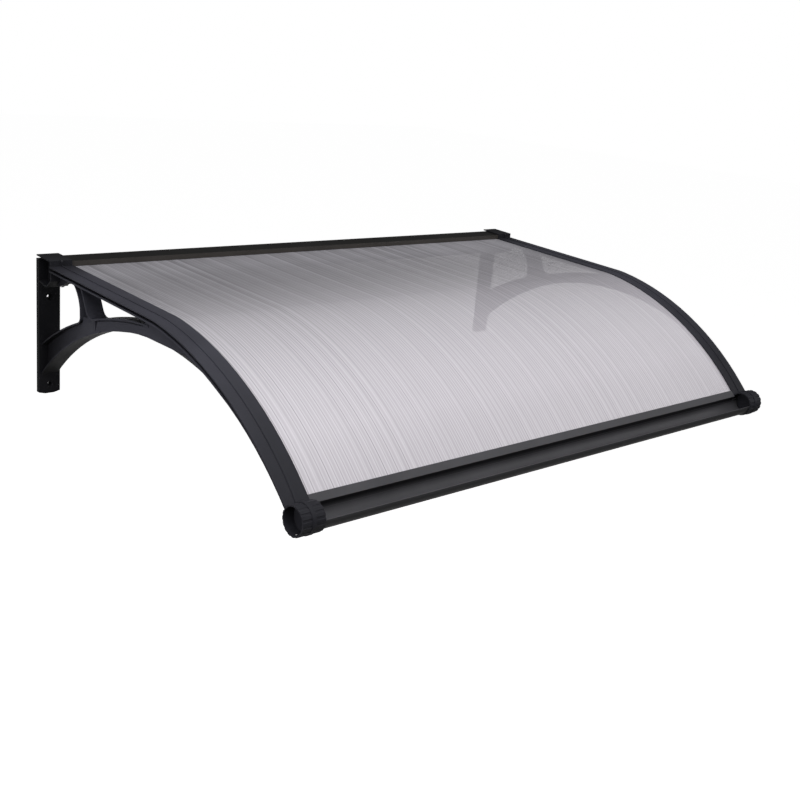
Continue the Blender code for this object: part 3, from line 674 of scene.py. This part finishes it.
def near_point(line, out):
    """Point of a line at a distance out from the wall."""
    for (a, up_a), (b, up_b) in zip(line, line[1:]):
        if a <= out <= b:
            share = (out - a) / (b - a)
            return (out, up_a + (up_b - up_a) * share)
    return line[-1]


def new_shape_tree(name, numbers, counts=()):
    """Geometry nodes with named inputs; returns the tree and the inputs' sockets."""
    tree = bpy.data.node_groups.new(name, "GeometryNodeTree")
    sockets = [("Geometry", "Geometry")]
    sockets += [(label, "Float") for label in numbers] + [(label, "Int") for label in counts]
    sockets += [("Finish", "Material")]
    for label, kind in sockets:
        tree.interface.new_socket(name=label, in_out="INPUT", socket_type="NodeSocket" + kind)
    tree.interface.new_socket(name="Geometry", in_out="OUTPUT", socket_type="NodeSocketGeometry")
    return tree, tree.nodes.new("NodeGroupInput").outputs


def end_shape_tree(tree, shape, finish):
    """Make the instances real, set their material and hand the shape out."""
    real = add(tree, "GeometryNodeRealizeInstances")
    join(tree, shape, real.inputs["Geometry"])
    coat = add(tree, "GeometryNodeSetMaterial")
    join(tree, real.outputs["Geometry"], coat.inputs["Geometry"])
    join(tree, finish, coat.inputs["Material"])
    go = tree.nodes.new("NodeGroupOutput")
    join(tree, coat.outputs["Geometry"], go.inputs["Geometry"])


def sheet_tree():
    """Geometry nodes that sweep a fluted sheet along a line of points."""
    tree, size = new_shape_tree(
        "fluted_sheet",
        ("Width", "Thickness", "Left edge", "Skin", "Rib", "Top hiding", "Low hiding",
         "Flute hiding"),
        ("Flutes",),
    )
    calc = calculator(tree)

    path = add(tree, "GeometryNodeMeshToCurve")
    join(tree, size["Geometry"], path.inputs["Mesh"])
    upright = add(tree, "GeometryNodeSetCurveNormal", mode="Z_UP")
    join(tree, path.outputs["Curve"], upright.inputs["Curve"])
    shorter = add(tree, "GeometryNodeTrimCurve", mode="FACTOR")
    join(tree, upright.outputs["Curve"], shorter.inputs["Curve"])
    shorter.inputs[2].default_value = 0.001
    shorter.inputs[3].default_value = 0.999
    half = calc("MULTIPLY", size["Width"], 0.5)
    centre = vector(tree, calc("ADD", size["Left edge"], half))

    def swept(curve, width, height):
        profile = add(tree, "GeometryNodeCurvePrimitiveQuadrilateral")
        join(tree, width, profile.inputs["Width"])
        join(tree, height, profile.inputs["Height"])
        solid = add(tree, "GeometryNodeCurveToMesh")
        solid.inputs["Fill Caps"].default_value = True
        join(tree, curve, solid.inputs["Curve"])
        join(tree, profile.outputs["Curve"], solid.inputs["Profile Curve"])
        return solid.outputs["Mesh"]

    def marked(geometry, value):
        mark = add(tree, "GeometryNodeStoreNamedAttribute", data_type="FLOAT", domain="FACE")
        mark.inputs["Name"].default_value = "hiding"
        join(tree, geometry, mark.inputs["Geometry"])
        join(tree, value, mark.inputs["Value"])
        return mark.outputs["Geometry"]

    outside = add(tree, "GeometryNodeSetPosition")
    slab = swept(upright.outputs["Curve"], size["Width"], size["Thickness"])
    join(tree, slab, outside.inputs["Geometry"])
    join(tree, centre, outside.inputs["Offset"])
    facing = add(tree, "GeometryNodeInputNormal")
    split = add(tree, "ShaderNodeSeparateXYZ")
    join(tree, facing.outputs["Normal"], split.inputs[0])
    up = calc("GREATER_THAN", split.outputs["Z"], 0.1)
    hiding = map_range(tree, up, (0.0, 1.0), (size["Low hiding"], size["Top hiding"]))
    shell = marked(outside.outputs["Geometry"], hiding)

    pitch = calc("DIVIDE", calc("SUBTRACT", size["Width"], size["Rib"]), size["Flutes"])
    gap = calc("SUBTRACT", pitch, size["Rib"])
    clear = calc("SUBTRACT", size["Thickness"], calc("MULTIPLY", size["Skin"], 2.0))
    turned = add(tree, "GeometryNodeFlipFaces")
    join(tree, swept(shorter.outputs["Curve"], gap, clear), turned.inputs["Mesh"])
    inset = calc("ADD", size["Rib"], calc("MULTIPLY", gap, 0.5))
    row = add(tree, "GeometryNodeMeshLine")
    join(tree, size["Flutes"], row.inputs["Count"])
    first = vector(tree, calc("ADD", size["Left edge"], inset))
    join(tree, first, row.inputs["Start Location"])
    join(tree, vector(tree, pitch), row.inputs["Offset"])
    spread = add(tree, "GeometryNodeInstanceOnPoints")
    join(tree, row.outputs["Mesh"], spread.inputs["Points"])
    flute = marked(turned.outputs["Mesh"], size["Flute hiding"])
    join(tree, flute, spread.inputs["Instance"])

    both = add(tree, "GeometryNodeJoinGeometry")
    join(tree, shell, both.inputs["Geometry"])
    join(tree, spread.outputs["Instances"], both.inputs["Geometry"])
    end_shape_tree(tree, both.outputs["Geometry"], size["Finish"])
    return tree


def socket_id(tree, label):
    for item in tree.interface.items_tree:
        if item.name == label and item.in_out == "INPUT":
            return item.identifier
    raise RuntimeError(f"no input named {label}")


def run_tree(tree, mesh, **values):
    """Evaluate a tree on a mesh and return the result as a plain mesh."""
    item = bpy.data.objects.new("working_shape", mesh)
    bpy.context.scene.collection.objects.link(item)
    step = item.modifiers.new("shape", "NODES")
    step.node_group = tree
    for label, value in values.items():
        step[socket_id(tree, label.replace("_", " "))] = value
    made = evaluated_mesh(item)
    bpy.data.objects.remove(item, do_unlink=True)
    return made


def line_mesh(points):
    mesh = bpy.data.meshes.new("line")
    edges = [(i, i + 1) for i in range(len(points) - 1)]
    mesh.from_pydata([(0.0, -out, up) for out, up in points], edges, [])
    return mesh


class CANOPY_OT_sheet(bpy.types.Operator):
    """Build the fluted twin-wall sheet along the CAD sheet's own bend"""

    bl_idname = "canopy.sheet"
    bl_label = "Roof sheet"

    def execute(self, context):
        settings = context.scene.canopy_sheet
        low, high = node_box("roof_sheet")
        upper, lower = top_and_bottom_lines("roof_sheet")
        thickness = (Vector(upper[0]) - Vector(lower[0])).length
        points = NODES["roof_sheet"].data.vertices
        side_front = min(v.co.y for v in points if v.co.x < low.x + NEAR)
        end = -side_front - FRONT_INSET
        line = [point for point in middle_line("roof_sheet") if point[0] < end - NEAR]
        line.append(near_point(middle_line("roof_sheet"), end))
        width = high.x - low.x
        flutes = round(width / settings.flute_pitch)
        pitch = (width - settings.rib) / flutes
        finish = sheet_material(settings, low.x + settings.rib / 2, pitch, side_front)
        mesh = run_tree(
            sheet_tree(), line_mesh(line), Width=width, Thickness=thickness, Left_edge=low.x,
            Skin=settings.skin, Rib=settings.rib, Flutes=flutes, Finish=finish,
            Top_hiding=settings.top_hiding, Low_hiding=settings.low_hiding,
            Flute_hiding=settings.flute_hiding,
        )
        mesh.shade_smooth()
        mesh.set_sharp_from_angle(angle=SHEET_SHARP)
        made = piece_from("fluted_roof_sheet", mesh, "glazing", "roof_sheet")
        give(made, finish)
        return {"FINISHED"}


def screw_tree():
    """Geometry nodes that stand a pan head screw with a turned thread on every point."""
    tree, size = new_shape_tree(
        "rail_screws",
        ("Length", "Head radius", "Head height", "Core radius", "Thread depth", "Thread pitch",
         "Recess reach", "Recess width"),
    )
    calc = calculator(tree)

    def turned(steps, bottom, depth, radius_at):
        """Upright round solid; radius_at gives its radius from the height and the angle."""
        blank = add(tree, "GeometryNodeMeshCylinder", Vertices=steps[0], Radius=1.0)
        blank.inputs["Side Segments"].default_value = steps[1]
        join(tree, depth, blank.inputs["Depth"])
        where = add(tree, "GeometryNodeInputPosition")
        split = add(tree, "ShaderNodeSeparateXYZ")
        join(tree, where.outputs[0], split.inputs[0])
        height = calc("ADD", split.outputs["Z"], calc("MULTIPLY_ADD", depth, 0.5, bottom))
        angle = calc("ARCTAN2", split.outputs["Y"], split.outputs["X"])
        radius = radius_at(height, angle)
        shaped = add(tree, "GeometryNodeSetPosition")
        join(tree, blank.outputs["Mesh"], shaped.inputs["Geometry"])
        place = vector(tree, calc("MULTIPLY", split.outputs["X"], radius),
                       calc("MULTIPLY", split.outputs["Y"], radius), height)
        join(tree, place, shaped.inputs["Position"])
        return shaped.outputs["Geometry"]

    def head_radius(height, angle):
        rounded = calc("MULTIPLY", size["Head height"], HEAD_ROUNDED)
        rise = calc("MINIMUM", calc("DIVIDE", height, rounded), 1.0)
        rounding = calc("MULTIPLY", rise, calc("SUBTRACT", 2.0, rise))
        share = calc("MULTIPLY_ADD", rounding, 1.0 - HEAD_FACE, HEAD_FACE)
        return calc("MULTIPLY", size["Head radius"], share)

    def shank_radius(height, angle):
        turn = calc("SUBTRACT", calc("DIVIDE", height, size["Thread pitch"]),
                    calc("DIVIDE", angle, 2 * pi))
        flank = calc("ABSOLUTE", calc("MULTIPLY_ADD", calc("FRACT", turn), 2.0, -1.0))
        steep = calc("MULTIPLY_ADD", flank, THREAD_STEEPNESS, 1.0 - THREAD_STEEPNESS)
        ridge = calc("MAXIMUM", steep, 0.0)
        left = calc("DIVIDE", calc("SUBTRACT", size["Length"], height),
                    calc("MULTIPLY", size["Thread pitch"], POINT_TURNS))
        point = calc("MINIMUM", left, 1.0)
        share = calc("MULTIPLY_ADD", point, 1.0 - POINT_CORE, POINT_CORE)
        core = calc("MULTIPLY", size["Core radius"], share)
        thread = calc("MULTIPLY", size["Thread depth"], calc("MULTIPLY", ridge, point))
        return calc("ADD", core, thread)

    head = turned(HEAD_STEPS, 0.0, size["Head height"], head_radius)
    start = calc("MULTIPLY", size["Head height"], SHANK_START)
    below = calc("SUBTRACT", size["Length"], start)
    shank = turned(SHANK_STEPS, start, below, shank_radius)
    whole = add(tree, "GeometryNodeMeshBoolean", operation="UNION")
    for part in (head, shank):
        join(tree, part, whole.inputs["Mesh 2"])
    recess = add(tree, "GeometryNodeMeshBoolean", operation="DIFFERENCE")
    join(tree, whole.outputs["Mesh"], recess.inputs["Mesh 1"])
    depth = calc("MULTIPLY", size["Head height"], RECESS_DEPTH)
    reach, narrow = size["Recess reach"], size["Recess width"]
    for wide, deep in ((reach, narrow), (narrow, reach)):
        bar = add(tree, "GeometryNodeMeshCube")
        join(tree, vector(tree, wide, deep, depth), bar.inputs["Size"])
        join(tree, bar.outputs["Mesh"], recess.inputs["Mesh 2"])
    turns = add(tree, "FunctionNodeRandomValue", data_type="FLOAT_VECTOR", Seed=TURN_SEED)
    turns.inputs[0].default_value = (0, 0, 0)
    turns.inputs[1].default_value = (0, 0, 2 * pi)
    spread = add(tree, "GeometryNodeInstanceOnPoints")
    join(tree, size["Geometry"], spread.inputs["Points"])
    join(tree, recess.outputs["Mesh"], spread.inputs["Instance"])
    join(tree, turns.outputs[0], spread.inputs["Rotation"])
    end_shape_tree(tree, spread.outputs["Instances"], size["Finish"])
    return tree


class CANOPY_OT_screws(bpy.types.Operator):
    """Build the four rail screws with their cross recess and thread"""

    bl_idname = "canopy.screws"
    bl_label = "Rail screws"

    def execute(self, context):
        nodes = sorted(name for name in NODES if name.endswith("_screw"))
        boxes = [node_box(node) for node in nodes]
        low, high = boxes[0]
        across, length = high.x - low.x, high.z - low.z
        feet = bpy.data.meshes.new("screw_feet")
        feet.from_pydata([((a.x + b.x) / 2, (a.y + b.y) / 2, a.z) for a, b in boxes], [], [])
        finish = bpy.data.materials["zinc_plated_steel_finish"]
        sizes = {label: across * share for label, share in SCREW_ACROSS.items()}
        sizes.update({label: length * share for label, share in SCREW_ALONG.items()})
        mesh = run_tree(screw_tree(), feet, Length=length, Finish=finish, **sizes)
        mesh.shade_smooth()
        mesh.set_sharp_from_angle(angle=SCREW_SHARP)
        give(piece_from("rail_screws", mesh, "screw_steel", *nodes), finish)
        return {"FINISHED"}


def area_light(name, place, aim, size, power):
    lamp = bpy.data.lights.new(name, "AREA")
    lamp.shape = "RECTANGLE"
    lamp.size, lamp.size_y = size
    lamp.energy = power
    made = bpy.data.objects.new(name, lamp)
    bpy.context.scene.collection.objects.link(made)
    made.location = place
    made.rotation_mode = "QUATERNION"
    made.rotation_quaternion = (Vector(aim) - Vector(place)).to_track_quat("-Z", "Y")
    return made


def seen_level(tree, unseen, seen):
    """Strength with one value where the camera looks and another for the light on the canopy."""
    rays = add(tree, "ShaderNodeLightPath", (-800, 300))
    either = add(tree, "ShaderNodeMath", (-600, 300), operation="MAXIMUM")
    join(tree, rays.outputs["Is Camera Ray"], either.inputs[0])
    join(tree, rays.outputs["Is Transmission Ray"], either.inputs[1])
    return map_range(tree, either.outputs[0], (0.0, 1.0), (unseen, seen), (-400, 300))


def paper_material():
    """Pale floor: white where the camera looks straight at it, with the shadow kept."""
    made, tree, shader = new_material("pale_studio_floor")
    grain = add(tree, "ShaderNodeTexNoise", (-500, 0), Scale=3.0, Detail=2.0)
    coords = add(tree, "ShaderNodeTexCoord", (-700, 0))
    join(tree, coords.outputs["Object"], grain.inputs["Vector"])
    tone = map_range(tree, grain.outputs["Fac"], (0.0, 1.0), FLOOR_TONES, (-300, 0))
    join(tree, tone, shader.inputs["Base Color"])
    shader.inputs["Roughness"].default_value = 0.9
    shader.inputs["Specular IOR Level"].default_value = 0.1
    shader.inputs["Emission Color"].default_value = (1, 1, 1, 1)
    join(tree, seen_level(tree, 0.0, FLOOR_GLOW), shader.inputs["Emission Strength"])
    return made


class CANOPY_OT_stage(bpy.types.Operator):
    """Set the floor, the soft studio light and the camera"""

    bl_idname = "canopy.stage"
    bl_label = "Studio"

    def execute(self, context):
        settings = context.scene.canopy_stage
        scene = context.scene
        low, high = CAD_BOX
        level = low.z - settings.floor_drop
        centre = ((low.x + high.x) / 2, 0, level)
        bpy.ops.mesh.primitive_plane_add(size=FLOOR_SIZE, location=centre)
        floor = context.object
        floor.name = "studio_floor"
        give(floor, paper_material())

        world = bpy.data.worlds.new("studio_air")
        scene.world = world
        world.use_nodes = True
        tree = world.node_tree
        back = tree.nodes["Background"]
        back.inputs["Color"].default_value = (1, 1, 1, 1)
        join(tree, seen_level(tree, AIR_LIGHT, AIR_SEEN), back.inputs["Strength"])

        middle = (low + high) / 2
        for name, place, size, power in STUDIO_LAMPS:
            area_light(name, place, middle, size, power)

        camera = bpy.data.cameras.new("camera")
        camera.lens = settings.lens
        camera.sensor_width = SENSOR_WIDTH
        eye = bpy.data.objects.new("camera", camera)
        scene.collection.objects.link(eye)
        azimuth, elevation = settings.azimuth, settings.elevation
        level_share = cos(elevation)
        forward = Vector((
            sin(azimuth) * level_share, cos(azimuth) * level_share, -sin(elevation),
        ))
        eye.location = settings.eye
        eye.rotation_mode = "QUATERNION"
        roll = Quaternion((0, 0, 1), settings.roll)
        eye.rotation_quaternion = forward.to_track_quat("-Z", "Y") @ roll
        scene.camera = eye
        scene.view_settings.view_transform = "Standard"
        return {"FINISHED"}


class CANOPY_PT_panel(bpy.types.Panel):
    """Buttons and sizes of the canopy's looks"""

    bl_idname = "CANOPY_PT_panel"
    bl_label = "Door canopy"
    bl_space_type = "VIEW_3D"
    bl_region_type = "UI"
    bl_category = "Canopy"

    def draw(self, context):
        column = self.layout.column(align=True)
        for operator in OPERATORS:
            column.operator(operator.bl_idname)
        for settings_name, _ in SETTINGS:
            group = getattr(context.scene, settings_name)
            box = self.layout.box()
            for name in group.__annotations__:
                box.prop(group, name)


OPERATORS = (
    CANOPY_OT_stage,
    CANOPY_OT_finishes,
    CANOPY_OT_brackets,
    CANOPY_OT_rails,
    CANOPY_OT_sheet,
    CANOPY_OT_screws,
)
SETTINGS = (
    ("canopy_sheet", CanopySheetSettings),
    ("canopy_finish", CanopyFinishSettings),
    ("canopy_stage", CanopyStageSettings),
)


def register():
    for name, group in SETTINGS:
        bpy.utils.register_class(group)
        setattr(bpy.types.Scene, name, PointerProperty(type=group))
    for operator in OPERATORS:
        bpy.utils.register_class(operator)
    bpy.utils.register_class(CANOPY_PT_panel)


def unregister():
    bpy.utils.unregister_class(CANOPY_PT_panel)
    for operator in reversed(OPERATORS):
        bpy.utils.unregister_class(operator)
    for name, group in reversed(SETTINGS):
        delattr(bpy.types.Scene, name)
        bpy.utils.unregister_class(group)


def main():
    register()
    bpy.ops.canopy.stage()
    bpy.ops.canopy.finishes()
    bpy.ops.canopy.brackets()
    bpy.ops.canopy.rails()
    bpy.ops.canopy.sheet()
    bpy.ops.canopy.screws()


if __name__ == "__main__":
    main()
